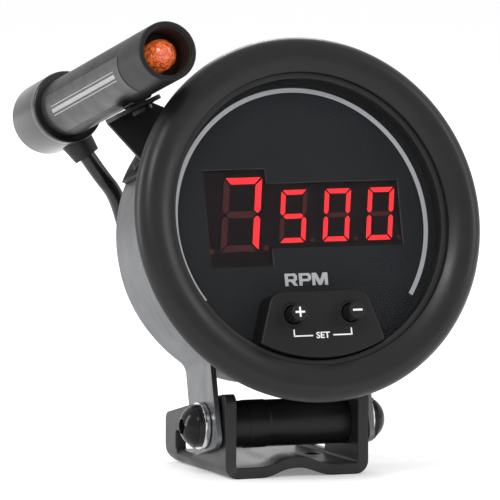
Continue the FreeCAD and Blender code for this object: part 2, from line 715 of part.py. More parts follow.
def small_screws(places, seat_y, facing):
    """Pan-head screws; facing is the way their heads point along Y."""
    solids = []
    for x, z in places:
        head_end = seat_y + facing * SMALL_SCREW_HEAD_H
        tip = seat_y - facing * (SMALL_SCREW_GRIP + BOARD_T)
        head = cylinder_y(SMALL_SCREW_HEAD_R, min(seat_y, head_end), max(seat_y, head_end), x, z)
        shank = cylinder_y(SMALL_SCREW_R, min(seat_y, tip), max(seat_y, tip), x, z)
        slot = box(x - SMALL_SCREW_HEAD_R, x + SMALL_SCREW_HEAD_R, min(head_end, head_end - facing * 0.6),
                   max(head_end, head_end - facing * 0.6), z - 0.35, z + 0.35)
        solids.append(head.fuse(shank).cut(slot))
    return group(solids)


def main_board_chips():
    """Controller, regulator and capacitor on the main board's rear."""
    y0 = MAIN_BOARD_Y + BOARD_T
    chip = box(-8, 6, y0, y0 + 2.2, -4, 10)
    regulator = box(10, 17, y0, y0 + 4.4, -8, 2)
    capacitor = cylinder_y(4.0, y0, y0 + 10, 14, 10)
    return group([chip, regulator, capacitor])


# ---- buttons ------------------------------------------------------------------------------------
def button(x):
    front = POD_TOP - BUTTON_PROUD
    stop = DIAL_T + 0.3
    stem = cylinder_y(BUTTON_R, front, stop + BUTTON_STOP_T, x, BUTTON_Z)
    stem = round_edges(stem, BUTTON_EDGE_R, lambda e: abs(middle(e).y - front) < 0.01)
    flange = cylinder_y(BUTTON_STOP_R, stop, stop + BUTTON_STOP_T, x, BUTTON_Z)
    return stem.fuse(flange).removeSplitter()


def switch_front():
    """y of the switch bodies' front, in front of the display board."""
    return module_span()[1] - SWITCH_H


def plunger(x):
    start = DIAL_T + 0.3 + BUTTON_STOP_T
    return cylinder_y(PLUNGER_R, start, switch_front() + PLUNGER_IN, x, BUTTON_Z)


def switches():
    y0 = switch_front()
    half = SWITCH_W / 2
    solids = []
    for x, z in button_places():
        body = box(x - half, x + half, y0, y0 + SWITCH_H, z - half, z + half)
        solids.append(body.cut(cylinder_y(PLUNGER_R + FIT, y0 - 1, y0 + SWITCH_BORE, x, z)))
    return group(solids)


# ---- rear fittings ------------------------------------------------------------------------------
def harness_gland():
    """Rubber gland for the wiring harness, with its bore open."""
    inside = CUP_REAR - CUP_WALL
    return revolve_y([(GLAND_BORE_R, inside - 1.5), (GLAND_LIP_R, inside - 1.5), (GLAND_LIP_R, inside),
                      (GLAND_R, inside), (GLAND_R, CUP_REAR), (GLAND_LIP_R, CUP_REAR),
                      (GLAND_LIP_R, CUP_REAR + 1.5), (GLAND_R - 2, CUP_REAR + GLAND_PROUD),
                      (GLAND_BORE_R, CUP_REAR + GLAND_PROUD)], 0, GLAND_Z)


def cable_grommet():
    inside = CUP_REAR - CUP_WALL
    lip = GROMMET_LIP_T
    return revolve_y([(0, inside - lip), (GROMMET_LIP_R, inside - lip), (GROMMET_LIP_R, inside),
                      (GROMMET_R, inside), (GROMMET_R, CUP_REAR), (GROMMET_LIP_R, CUP_REAR),
                      (GROMMET_LIP_R, CUP_REAR + lip), (CABLE_R + 0.8, CUP_REAR + GROMMET_PROUD),
                      (0, CUP_REAR + GROMMET_PROUD)], GROMMET_X, GROMMET_Z)


# ---- shift light --------------------------------------------------------------------------------
def light_tube():
    tube = cylinder_y(TUBE_R, LIGHT_FRONT, TUBE_REAR)
    tube = tube.cut(cylinder_y(TUBE_BORE_R, LIGHT_FRONT - 1, TUBE_REAR + 1))
    tube = round_edges(tube, TUBE_RIM_R, lambda e: abs(middle(e).y - LIGHT_FRONT) < 0.01)
    tube.translate(Vec(LIGHT_X, 0, LIGHT_Z))
    return tube.cut(aim_screw_shank(AIM_SCREW_R))


def light_led():
    """Domed LED with its base flange."""
    body = cylinder_y(LED_R, LED_DOME_Y, LED_REAR)
    dome = Part.makeSphere(LED_R, Vec(0, LED_DOME_Y, 0))
    flange = cylinder_y(LED_FLANGE_R, LED_REAR - LED_FLANGE_T, LED_REAR)
    led = body.fuse([dome, flange]).removeSplitter()
    led.translate(Vec(LIGHT_X, 0, LIGHT_Z))
    return led


def led_holder():
    """Black disc behind the LED, pressed into the tube."""
    front = LED_REAR - LED_FLANGE_T - 1.4
    disc = cylinder_y(TUBE_BORE_R, front, LED_REAR + HOLDER_T, LIGHT_X, LIGHT_Z)
    disc = disc.cut(cylinder_y(LED_FLANGE_R, LED_REAR - LED_FLANGE_T, LED_REAR, LIGHT_X, LIGHT_Z))
    return disc.cut(cylinder_y(LED_R, front - 1, LED_REAR, LIGHT_X, LIGHT_Z))


def driver_board():
    y0 = LED_REAR + HOLDER_T
    half = DRIVER_BOARD_W / 2
    return box(LIGHT_X - half, LIGHT_X + half, y0, y0 + DRIVER_BOARD_LEN, LIGHT_Z - 0.8, LIGHT_Z + 0.8)


def light_collar():
    ring = cylinder_y(CAP_R, COLLAR_FRONT, COLLAR_FRONT + COLLAR_T)
    ring = round_edges(ring, 0.5, lambda e: abs(middle(e).y - COLLAR_FRONT) < 0.01)
    ring = ring.cut(cylinder_y(TUBE_R, COLLAR_FRONT - 1, COLLAR_FRONT + COLLAR_T + 1))
    ring.translate(Vec(LIGHT_X, 0, LIGHT_Z))
    return ring


def boot_axis():
    return Vec(cos(radians(BOOT_DEG)), 0, sin(radians(BOOT_DEG)))


def boot_centre(distance):
    return Vec(LIGHT_X, BOOT_Y, LIGHT_Z) + boot_axis() * distance


def light_cap():
    front = COLLAR_FRONT + COLLAR_T
    cap = cylinder_y(CAP_R, front, CAP_REAR)
    cap = round_edges(cap, CAP_DOME_R, lambda e: abs(middle(e).y - CAP_REAR) < 0.01)
    cap = cap.cut(cylinder_y(TUBE_R, front - 1, CAP_REAR - CAP_WALL - 1))
    cap.translate(Vec(LIGHT_X, 0, LIGHT_Z))
    return cap.cut(Part.makeCylinder(BOOT_ROOT_R, BOOT_TIP, boot_centre(4.0), boot_axis()))


def cable_boot():
    """Tapered strain relief that leaves the rear cap on its lower right."""
    length = BOOT_TIP - BOOT_ROOT
    cone = Part.makeCone(BOOT_ROOT_R, BOOT_TIP_R, length, boot_centre(BOOT_ROOT), boot_axis())
    neck = Part.makeCylinder(BOOT_ROOT_R, BOOT_ROOT - TUBE_R, boot_centre(TUBE_R), boot_axis())
    return neck.fuse(cone).removeSplitter()


def light_label():
    """Thin label panel round the tube's left side."""
    y0, y1 = LABEL_FRONT, LABEL_REAR
    shell = cylinder_y(TUBE_R + LABEL_T, y0, y1).cut(cylinder_y(TUBE_R, y0 - 1, y1 + 1))
    reach = 2 * TUBE_R
    middle_deg = (LABEL_LOW_DEG + LABEL_HIGH_DEG) / 2
    wedge = polygon([Vec(0, y0, 0), polar(reach, LABEL_LOW_DEG, y0), polar(reach, middle_deg, y0),
                     polar(reach, LABEL_HIGH_DEG, y0)]).extrude(Vec(0, y1 - y0, 0))
    label = shell.common(wedge)
    label.translate(Vec(LIGHT_X, 0, LIGHT_Z))
    return label


# ---- bracket ------------------------------------------------------------------------------------
def shelf_frame():
    """Unit vectors along the shelf's width and normal to it, in the head's XZ plane."""
    dx = TAB_TOP_RIGHT[0] - TAB_TOP_LEFT[0]
    dz = TAB_TOP_RIGHT[1] - TAB_TOP_LEFT[1]
    width = hypot(dx, dz)
    along = Vec(dx / width, 0, dz / width)
    return along, Vec(-along.z, 0, along.x), width


def light_foot_point():
    """Where the light's centre line meets the shelf's underside, seen along the shelf's normal."""
    along, normal, width = shelf_frame()
    corner = Vec(TAB_TOP_LEFT[0], 0, TAB_TOP_LEFT[1])
    offset = Vec(LIGHT_X, 0, LIGHT_Z) - corner
    return corner + along * offset.dot(along)


def aim_screw_shank(radius):
    """Shank of the screw on which the light swivels, along the shelf's normal."""
    along, normal, width = shelf_frame()
    start = light_foot_point() + Vec(0, AIM_SCREW_Y, 0) - normal * 1.0
    return Part.makeCylinder(radius, 1.0 + BRACKET_T + AIM_BITE, start, normal)


def aim_screw():
    along, normal, width = shelf_frame()
    base = light_foot_point() + Vec(0, AIM_SCREW_Y, 0) - normal * (AIM_HEAD_H + SADDLE_GAP)
    head = Part.makeCylinder(AIM_HEAD_R, AIM_HEAD_H, base, normal)
    shank = Part.makeCylinder(AIM_SCREW_R, AIM_HEAD_H + SADDLE_GAP + BRACKET_T + AIM_BITE - 0.5, base, normal)
    socket = Part.makeCylinder(1.1, AIM_HEAD_H * 0.6, base, normal)
    return head.fuse(shank).cut(socket).removeSplitter()


def light_saddle():
    """Plastic saddle between the shelf and the tube."""
    along, normal, width = shelf_frame()
    corner = light_foot_point() + Vec(0, SADDLE_FRONT, 0) + normal * (BRACKET_T + SADDLE_GAP)
    half = SADDLE_W / 2
    low_left = corner - along * half
    low_right = corner + along * half
    rise = normal * 2.6
    section = polygon([low_left, low_right, low_right + rise, low_left + rise])
    block = section.extrude(Vec(0, SADDLE_LEN, 0))
    block = round_edges(block, 1.0, lambda e: abs(e.tangentAt(e.FirstParameter).y) > 0.9
                        and abs((middle(e) - corner).dot(normal)) < 0.01)
    block = block.cut(cylinder_y(TUBE_R, SADDLE_FRONT - 1, SADDLE_FRONT + SADDLE_LEN + 1, LIGHT_X, LIGHT_Z))
    return block.cut(aim_screw_shank(AIM_SCREW_R))


def rivet_bore(angle):
    inner = CUP_R + LINER_T - 0.5
    return Part.makeCylinder(RIVET_R, 6.0, polar(inner, angle, DIAL_TO_PIVOT), polar(1, angle))


def bracket_tab():
    """Flat tab in front of the strap, from the foot up to the shelf."""
    foot_r = CUP_R + LINER_T + STRAP_T + FOOT_GAP
    mid_deg = (TAB_LOW_LEFT_DEG + TAB_LOW_RIGHT_DEG) / 2
    top_left = Vec(TAB_TOP_LEFT[0], TAB_FRONT, TAB_TOP_LEFT[1])
    top_right = Vec(TAB_TOP_RIGHT[0], TAB_FRONT, TAB_TOP_RIGHT[1])
    low_right = polar(foot_r, TAB_LOW_RIGHT_DEG, TAB_FRONT)
    low_left = polar(foot_r, TAB_LOW_LEFT_DEG, TAB_FRONT)
    face = face_of([
        line(top_left, top_right), line(top_right, low_right),
        arc(low_right, polar(foot_r, mid_deg, TAB_FRONT), low_left), line(low_left, top_left),
    ])
    return face.extrude(Vec(0, BRACKET_T, 0))


def bracket_foot():
    """Curved foot over the strap, behind the tab."""
    inner = CUP_R + LINER_T + STRAP_T + FOOT_GAP
    y0 = TAB_FRONT
    y1 = DIAL_TO_PIVOT + STRAP_W / 2 - 0.5
    shell = cylinder_y(inner + BRACKET_T, y0, y1).cut(cylinder_y(inner, y0 - 1, y1 + 1))
    reach = 2 * CUP_R
    mid_deg = (TAB_LOW_LEFT_DEG + TAB_LOW_RIGHT_DEG) / 2
    wedge = polygon([Vec(0, y0, 0), polar(reach, TAB_LOW_RIGHT_DEG, y0), polar(reach, mid_deg, y0),
                     polar(reach, TAB_LOW_LEFT_DEG, y0)]).extrude(Vec(0, y1 - y0, 0))
    return shell.common(wedge)


def bracket_shelf():
    """Shelf bent forward from the tab's top edge, under the light."""
    along, normal, width = shelf_frame()
    start = Vec(TAB_TOP_LEFT[0], TAB_FRONT + BRACKET_T, TAB_TOP_LEFT[1])
    section = polygon([start, start + along * width, start + along * width + normal * BRACKET_T,
                       start + normal * BRACKET_T])
    shelf = section.extrude(Vec(0, -SHELF_LEN, 0))
    front = TAB_FRONT + BRACKET_T - SHELF_LEN
    return round_edges(shelf, SHELF_CORNER_R,
                       lambda e: abs(e.tangentAt(e.FirstParameter).dot(normal)) > 0.9
                       and abs(middle(e).y - front) < 0.01)


def light_bracket():
    along, normal, width = shelf_frame()
    body = bracket_tab().fuse([bracket_foot(), bracket_shelf()]).removeSplitter()
    corner = Vec(TAB_TOP_LEFT[0], TAB_FRONT - 1, TAB_TOP_LEFT[1]) + along * RELIEF_ALONG - normal * RELIEF_H
    relief = polygon([corner, corner + along * RELIEF_LEN, corner + along * RELIEF_LEN + normal * RELIEF_H,
                      corner + normal * RELIEF_H]).extrude(Vec(0, BRACKET_T + 2, 0))
    body = body.cut(relief)
    body = body.cut(aim_screw_shank(AIM_SCREW_R + FIT))
    for angle in RIVET_DEGS:
        body = body.cut(rivet_bore(angle))
    return body


def bracket_rivets():
    """Domed rivets that hold the bracket's foot on the strap."""
    inner = CUP_R + LINER_T
    outer = inner + STRAP_T + FOOT_GAP + BRACKET_T
    solids = []
    for angle in RIVET_DEGS:
        way = polar(1, angle)
        shank = Part.makeCylinder(RIVET_R, outer - inner, polar(inner, angle, DIAL_TO_PIVOT), way)
        head = Part.makeCone(RIVET_HEAD_R, RIVET_R, RIVET_HEAD_H, polar(outer, angle, DIAL_TO_PIVOT), way)
        flat = cylinder_y(outer, 0, 2 * DIAL_TO_PIVOT)
        solids.append(shank.fuse(head.cut(flat)))
    return group(solids)


# ---- cable --------------------------------------------------------------------------------------
def route_path(points):
    """Straight runs joined by tangent arcs, each as large as its two runs allow."""
    share = 0.45
    edges = []
    radii = []
    cursor = points[0]
    for before, here, after in zip(points, points[1:], points[2:]):
        inward = (before - here).normalize()
        outward = (after - here).normalize()
        half_turn = (pi - inward.getAngle(outward)) / 2
        reach = share * min((before - here).Length, (after - here).Length)
        radius = reach / tan(half_turn)
        start = here + inward * reach
        end = here + outward * reach
        bisector = (inward + outward).normalize()
        mid = here + bisector * (radius / cos(half_turn) - radius)
        edges.append(line(cursor, start))
        edges.append(arc(start, mid, end))
        radii.append(radius)
        cursor = end
    edges.append(line(cursor, points[-1]))
    return Part.Wire(edges), radii


def cable_route():
    """The whole route, from the boot's tip to the grommet's face."""
    grommet_face = Vec(GROMMET_X, CUP_REAR + GROMMET_PROUD, GROMMET_Z)
    route = [boot_centre(BOOT_TIP), boot_centre(BOOT_TIP + CABLE_LEAD)]
    route += [Vec(*p) for p in CABLE_TURNS]
    return route + [grommet_face + Vec(0, CABLE_LEAD, 0), grommet_face]


def light_cable():
    points = cable_route()
    path, radii = route_path(points)
    way = (points[1] - points[0]).normalize()
    section = Part.Wire([Part.makeCircle(CABLE_R, points[0], way)])
    tube = path.makePipeShell([section], True, False)
    expected = pi * CABLE_R ** 2 * path.Length
    print("cable length %.1f, radii %s" % (path.Length, ["%.1f" % r for r in radii]))
    print("cable volume %.0f, section times length %.0f" % (tube.Volume, expected))
    return tube


# ---- assembly -----------------------------------------------------------------------------------
def build_head():
    board_y = module_span()[1]
    save_head("strap", strap())
    save_head("strap_liner", liner())
    save_head("cup", cup())
    save_head("bezel", bezel())
    save_head("lens", lens())
    save_head("lens_gasket", gasket())
    save_head("inner_wall", inner_wall())
    save_head("dial_face", dial_face())
    save_head("window_filter", window_filter())
    save_head("big_digit", big_digit())
    save_head("small_digits", small_digits())
    save_head("display_board", board(board_y))
    save_head("board_standoffs", standoffs(standoff_places(), board_y + BOARD_T, MAIN_BOARD_Y))
    save_head("board_screws", small_screws(standoff_places(), board_y, -1))
    save_head("main_board", board(MAIN_BOARD_Y))
    save_head("main_board_chips", main_board_chips())
    save_head("rear_standoffs", standoffs(rear_screw_places(), MAIN_BOARD_Y + BOARD_T, CUP_REAR - CUP_WALL))
    save_head("rear_screws", small_screws(rear_screw_places(), CUP_REAR, 1))
    save_head("harness_gland", harness_gland())
    save_head("cable_grommet", cable_grommet())
    save_head("light_bracket", light_bracket())
    save_head("bracket_rivets", bracket_rivets())


def build_buttons():
    save_head("button_pod", button_pod())
    save_head("switches", switches())
    for name, x in (("plus", -BUTTON_X), ("minus", BUTTON_X)):
        save_head(f"{name}_button", button(x))
        save_head(f"{name}_plunger", plunger(x))


def build_light():
    save_head("light_tube", light_tube())
    save_head("light_led", light_led())
    save_head("led_holder", led_holder())
    save_head("driver_board", driver_board())
    save_head("light_collar", light_collar())
    save_head("light_cap", light_cap())
    save_head("light_label", light_label())
    save_head("cable_boot", cable_boot())
    save_head("light_cable", light_cable())
    save_head("light_saddle", light_saddle())
    save_head("aim_screw", aim_screw())


os.makedirs("parts", exist_ok=True)
build_base()
build_head()
build_buttons()
build_light()
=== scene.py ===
"""Looks of the pedestal tachometer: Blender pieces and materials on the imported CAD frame."""
import bmesh
import bpy
from math import acos, cos, pi, radians, sin, tan
from mathutils import Matrix, Vector


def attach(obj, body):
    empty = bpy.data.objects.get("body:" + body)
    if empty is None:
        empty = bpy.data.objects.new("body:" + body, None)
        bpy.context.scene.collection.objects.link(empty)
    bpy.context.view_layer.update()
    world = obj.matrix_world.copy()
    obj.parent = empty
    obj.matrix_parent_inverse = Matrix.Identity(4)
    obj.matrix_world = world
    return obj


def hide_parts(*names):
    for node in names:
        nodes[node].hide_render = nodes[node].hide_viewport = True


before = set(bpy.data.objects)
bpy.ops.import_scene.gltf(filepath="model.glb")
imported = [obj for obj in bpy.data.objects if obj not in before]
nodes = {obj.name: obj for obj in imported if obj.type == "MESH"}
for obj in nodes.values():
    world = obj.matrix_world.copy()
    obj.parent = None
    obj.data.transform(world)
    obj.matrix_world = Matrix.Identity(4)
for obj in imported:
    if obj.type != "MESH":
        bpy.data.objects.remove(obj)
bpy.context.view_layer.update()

# ---- the head's frame: millimetres on the dial, carried to metres in the row frame -----------------
# The dial's front face is at y = 0, y runs to the rear and z runs up the dial.
MM = 0.001
TILT = radians(14.6)
PIVOT = Vector((0, -11.6, 13.5)) * MM
PIVOT_IN_HEAD = Vector((0, 26.65, -50.0)) * MM
HEAD = (Matrix.Translation(PIVOT) @ Matrix.Rotation(-TILT, 4, "X")
        @ Matrix.Translation(-PIVOT_IN_HEAD) @ Matrix.Scale(MM, 4))

PRINT_T = 0.12               # thickness of the dial's print
POD_FRONT = -7.8
BUTTON_FRONT = -13.4
BUTTON_X = 8.2
BUTTON_Z = -26.0
BUTTON_R = 2.3
LIGHT = (-42.9, 42.85)       # x, z of the shift light's centre line
TUBE_R = 8.05
CAP_FRONT = 57.3             # where collar and cap meet
CAP_R = 10.0
CABLE_R = 2.3


# ---- camera and light --------------------------------------------------------------------------
def make_camera():
    """Long lens from the front left, a little above the object."""
    data = bpy.data.cameras.new("camera")
    data.lens = 470.3
    data.sensor_width = 36.0
    data.clip_end = 50.0
    camera = bpy.data.objects.new("camera", data)
    bpy.context.scene.collection.objects.link(camera)
    place = Vector((-0.6550, -1.6320, 0.2233))
    right = Vector((0.9291, -0.3698, 0.0031))
    up = Vector((0.0316, 0.0876, 0.9957))
    back = Vector((-0.3684, -0.925, 0.093))
    rows = [(right[k], up[k], back[k], place[k]) for k in range(3)]
    camera.matrix_world = Matrix((*rows, (0, 0, 0, 1)))
    bpy.context.scene.camera = camera


def area_light(name, place, size, power):
    """Rectangular lamp that looks at the middle of the object."""
    middle = Vector((0, 0, 0.07))
    data = bpy.data.lights.new(name, "AREA")
    data.shape = "RECTANGLE"
    data.size = size[0]
    data.size_y = size[1]
    data.energy = power
    lamp = bpy.data.objects.new(name, data)
    lamp.location = place
    lamp.rotation_euler = (middle - Vector(place)).to_track_quat("-Z", "Y").to_euler()
    bpy.context.scene.collection.objects.link(lamp)


def make_studio():
    """White surroundings, four soft lamps and a plain pale floor."""
    world = bpy.data.worlds.new("studio")
    bpy.context.scene.world = world
    world.use_nodes = True
    sky = world.node_tree.nodes["Background"]
    sky.inputs["Color"].default_value = (1.0, 1.0, 1.0, 1)
    sky.inputs["Strength"].default_value = 0.85
    area_light("key", place=(-0.7, -0.9, 1.1), size=(0.5, 0.5), power=9.0)
    area_light("left_strip", place=(-1.0, 0.35, 0.35), size=(0.25, 0.9), power=6.0)
    area_light("rear", place=(0.4, 1.1, 0.8), size=(0.6, 0.4), power=6.0)
    area_light("right", place=(1.0, -0.5, 0.5), size=(0.4, 0.8), power=3.0)
    mesh = bpy.data.meshes.new("floor")
    reach = 9.0
    corners = [(-reach, -reach, 0), (reach, -reach, 0), (reach, reach, 0), (-reach, reach, 0)]
    mesh.from_pydata(corners, [], [(0, 1, 2, 3)])
    floor = bpy.data.objects.new("floor", mesh)
    bpy.context.scene.collection.objects.link(floor)
    mesh.materials.append(plain_floor())


# ---- materials ---------------------------------------------------------------------------------
MATERIALS = {}
MIX_FACTOR, MIX_A, MIX_B, MIX_RESULT = 0, 6, 7, 2    # the colour sockets of a Mix node
SOCKETS = {
    "rough": "Roughness", "metallic": "Metallic", "specular": "Specular IOR Level", "coat": "Coat Weight",
    "coat_rough": "Coat Roughness", "alpha": "Alpha", "glow": "Emission Strength",
}


class Nodes:
    """Short way to build a material's node tree. The material is kept in MATERIALS by its name."""

    def __init__(self, name):
        self.material = bpy.data.materials.new(name)
        self.material.use_nodes = True
        self.tree = self.material.node_tree
        self.shader = self.tree.nodes["Principled BSDF"]
        MATERIALS[name] = self.material

    def add(self, kind, **values):
        node = self.tree.nodes.new(kind)
        for key, value in values.items():
            setattr(node, key, value)
        return node

    def link(self, source, target):
        self.tree.links.new(source, target)

    def paint(self, source):
        self.link(source, self.shader.inputs["Base Color"])

    def place(self, stretch=(1, 1, 1)):
        """Object coordinates, stretched."""
        coord = self.add("ShaderNodeTexCoord")
        mapping = self.add("ShaderNodeMapping")
        mapping.inputs["Scale"].default_value = stretch
        self.link(coord.outputs["Object"], mapping.inputs["Vector"])
        return mapping.outputs["Vector"]

    def noise(self, where, scale, detail=4.0, rough=0.55):
        node = self.add("ShaderNodeTexNoise")
        node.inputs["Scale"].default_value = scale
        node.inputs["Detail"].default_value = detail
        node.inputs["Roughness"].default_value = rough
        self.link(where, node.inputs["Vector"])
        return node.outputs["Fac"]

    def spread(self, value, low, high, source=(0.3, 0.7)):
        """Maps a value to a range."""
        node = self.add("ShaderNodeMapRange")
        node.inputs["From Min"].default_value = source[0]
        node.inputs["From Max"].default_value = source[1]
        node.inputs["To Min"].default_value = low
        node.inputs["To Max"].default_value = high
        self.link(value, node.inputs["Value"])
        return node.outputs["Result"]

    def blend(self, value, first, second):
        """Colour between two, by a value. Each is a colour or another node's output."""
        node = self.add("ShaderNodeMix", data_type="RGBA")
        self.link(value, node.inputs[MIX_FACTOR])
        for socket, colour in ((MIX_A, first), (MIX_B, second)):
            if isinstance(colour, tuple):
                node.inputs[socket].default_value = (*colour, 1)
            else:
                self.link(colour, node.inputs[socket])
        return node.outputs[MIX_RESULT]

    def edges(self, sharpness=0.06):
        """0 on flats and 1 on worn outer edges."""
        geometry = self.add("ShaderNodeNewGeometry")
        return self.spread(geometry.outputs["Pointiness"], 0.0, 1.0, (0.5 + sharpness, 0.5 + 3 * sharpness))

    def bump(self, height, strength, distance, soften=0.0):
        """Surface relief, over edges that look rounded by the soften radius."""
        node = self.add("ShaderNodeBump")
        node.inputs["Strength"].default_value = strength
        node.inputs["Distance"].default_value = distance
        self.link(height, node.inputs["Height"])
        if soften:
            bevel = self.add("ShaderNodeBevel", samples=6)
            bevel.inputs["Radius"].default_value = soften
            self.link(bevel.outputs["Normal"], node.inputs["Normal"])
        self.link(node.outputs["Normal"], self.shader.inputs["Normal"])

    def set(self, **values):
        for key, value in values.items():
            self.shader.inputs[SOCKETS[key]].default_value = value


def plain_floor():
    n = Nodes("floor_paint")
    cloud = n.noise(n.place(), 3.0)
    n.paint(n.blend(n.spread(cloud, 0, 1), (0.86, 0.86, 0.865), (0.88, 0.88, 0.885)))
    n.shader.inputs["Emission Color"].default_value = (1, 1, 1, 1)
    n.set(rough=0.9, specular=0.1, glow=0.22)
    return n.material


def coated(name, dark, light, rough, grain, relief, wear=None, soften=0.0003, specular=0.35, coat=0.0):
    """Painted or moulded surface: fine grain, cloudy tone, slightly paler edges."""
    n = Nodes(name)
    where = n.place()
    cloud = n.noise(where, 55.0, 5.0)
    fine = n.noise(where, grain, 3.0, 0.6)
    tone = n.blend(n.spread(cloud, 0, 1), dark, light)
    if wear:
        tone = n.blend(n.edges(), tone, wear)
    n.paint(tone)
    n.link(n.spread(n.noise(where, 130.0, 4.0), rough - 0.05, rough + 0.06), n.shader.inputs["Roughness"])
    n.bump(fine, relief, 0.0002, soften)
    n.set(specular=specular, coat=coat, coat_rough=0.15)


def brushed(name, dark, light, rough, stretch, relief, soften=0.0002, metallic=1.0):
    """Metal with fine lines along one direction and a faint mottle."""
    n = Nodes(name)
    lines = n.noise(n.place(stretch), 1.0, 6.0, 0.65)
    mottle = n.noise(n.place(), 160.0, 3.0)
    n.paint(n.blend(n.spread(lines, 0, 1), dark, light))
    n.link(n.spread(mottle, rough - 0.07, rough + 0.07), n.shader.inputs["Roughness"])
    n.bump(lines, relief, 0.0001, soften)
    n.set(metallic=metallic)


def glowing(name, colour, glow, base):
    """Segment that glows evenly, with a faint grain of the diffuser. The lit segments are the display's
    lamps; for the unlit ones the faint glow is painted light.
    """
    n = Nodes(name)
    grain = n.noise(n.place(), 2500.0, 2.0)
    paler_base = tuple(min(1, 1.15 * c) for c in base)
    paler_glow = tuple(min(1, 1.12 * c + 0.01) for c in colour)
    n.paint(n.blend(n.spread(grain, 0, 1), base, paler_base))
    n.link(n.blend(n.spread(grain, 0, 1), colour, paler_glow), n.shader.inputs["Emission Color"])
    n.bump(grain, 0.05, 0.0001)
    n.set(glow=glow, rough=0.45, specular=0.2)


def circuit_board():
    """Green board with a pattern of tracks."""
    n = Nodes("circuit_board")
    where = n.place()
    tracks = n.add("ShaderNodeTexBrick")
    tracks.inputs["Scale"].default_value = 180.0
    tracks.inputs["Mortar Size"].default_value = 0.02
    tracks.inputs["Color1"].default_value = (0.02, 0.12, 0.05, 1)
    tracks.inputs["Color2"].default_value = (0.025, 0.15, 0.06, 1)
    tracks.inputs["Mortar"].default_value = (0.05, 0.22, 0.1, 1)
    n.link(where, tracks.inputs["Vector"])
    n.paint(tracks.outputs["Color"])
    n.bump(n.noise(where, 900.0), 0.1, 0.0001)
    n.set(rough=0.4)


def clear_lens():
    """Nearly invisible sheet that only adds its reflections."""
    n = Nodes("clear_lens")
    n.link(n.spread(n.noise(n.place(), 40.0), 0.02, 0.05), n.shader.inputs["Roughness"])
    n.shader.inputs["Base Color"].default_value = (0.01, 0.01, 0.011, 1)
    n.set(alpha=0.035, specular=0.5)


def amber_lens():
    """Amber dome: hot spots, small moulded facets, and painted shade that darkens the colour towards the
    dome's outline.
    """
    n = Nodes("amber_lens")
    where = n.place()
    cells = n.add("ShaderNodeTexVoronoi")
    cells.inputs["Scale"].default_value = 1500.0
    n.link(where, cells.inputs["Vector"])
    # Painted shade: the base colour darkens where the dome's surface turns away from view.
    facing = n.add("ShaderNodeLayerWeight")
    facing.inputs["Blend"].default_value = 0.4
    n.paint(n.blend(facing.outputs["Facing"], (0.55, 0.06, 0.010), (0.12, 0.006, 0.002)))
    spots = n.spread(n.noise(where, 900.0, 6.0, 0.75), 0, 1, (0.42, 0.62))
    n.link(n.blend(spots, (0.16, 0.008, 0.002), (1.0, 0.26, 0.05)), n.shader.inputs["Emission Color"])
    n.bump(cells.outputs["Distance"], 0.8, 0.0006)
    n.set(glow=0.55, rough=0.08, coat=1.0, coat_rough=0.03)


def make_blacks():
    """Paints, plastics and rubbers. Colours are linear, grain is in cycles per metre."""
    coated("bezel_black", dark=(0.0072, 0.0072, 0.0077), light=(0.0100, 0.0100, 0.0106), rough=0.34,
           grain=2600.0, relief=0.03, wear=(0.014, 0.014, 0.015), specular=0.27)
    coated("base_black", dark=(0.0070, 0.0070, 0.0075), light=(0.0105, 0.0105, 0.011), rough=0.34,
           grain=1500.0, relief=0.06, wear=(0.035, 0.035, 0.037), specular=0.22, soften=0.0008)
    coated("bracket_black", dark=(0.0045, 0.0045, 0.005), light=(0.007, 0.007, 0.0075), rough=0.40,
           grain=1800.0, relief=0.05, wear=(0.03, 0.03, 0.03), specular=0.13, soften=0.0005)
    coated("tube_black", dark=(0.0065, 0.0065, 0.007), light=(0.0095, 0.0095, 0.010), rough=0.40,
           grain=2400.0, relief=0.03, wear=(0.04, 0.04, 0.04), specular=0.22)
    coated("gloss_black", dark=(0.006, 0.006, 0.0065), light=(0.009, 0.009, 0.0095), rough=0.2,
           grain=900.0, relief=0.015, specular=0.42, coat=0.15)
    coated("screw_black", dark=(0.004, 0.004, 0.0045), light=(0.007, 0.007, 0.0075), rough=0.15,
           grain=1200.0, relief=0.02, wear=(0.02, 0.02, 0.02), specular=0.16, coat=0.03)
    coated("pod_black", dark=(0.0060, 0.0060, 0.0065), light=(0.0085, 0.0085, 0.009), rough=0.42,
           grain=3200.0, relief=0.03, specular=0.22)
    coated("button_black", dark=(0.0065, 0.0065, 0.007), light=(0.0095, 0.0095, 0.010), rough=0.45,
           grain=3000.0, relief=0.03, specular=0.22)
    coated("wall_black", dark=(0.010, 0.010, 0.0105), light=(0.014, 0.014, 0.0145), rough=0.5,
           grain=2600.0, relief=0.03, specular=0.25)
    coated("dial_print", dark=(0.0135, 0.0142, 0.0155), light=(0.0155, 0.0163, 0.0177), rough=0.55,
           grain=5200.0, relief=0.004, soften=0.0, specular=0.08)
    coated("filter_smoke", dark=(0.0085, 0.0058, 0.0062), light=(0.0105, 0.0070, 0.0075), rough=0.3,
           grain=3200.0, relief=0.003, soften=0.0, specular=0.08)
    coated("rubber", dark=(0.009, 0.009, 0.009), light=(0.015, 0.015, 0.015), rough=0.5,
           grain=1400.0, relief=0.08, specular=0.3)
    coated("cable_skin", dark=(0.005, 0.005, 0.005), light=(0.009, 0.009, 0.009), rough=0.25,
           grain=1700.0, relief=0.03, specular=0.45)
    coated("nylon", dark=(0.012, 0.012, 0.013), light=(0.02, 0.02, 0.021), rough=0.5,
           grain=1800.0, relief=0.05)


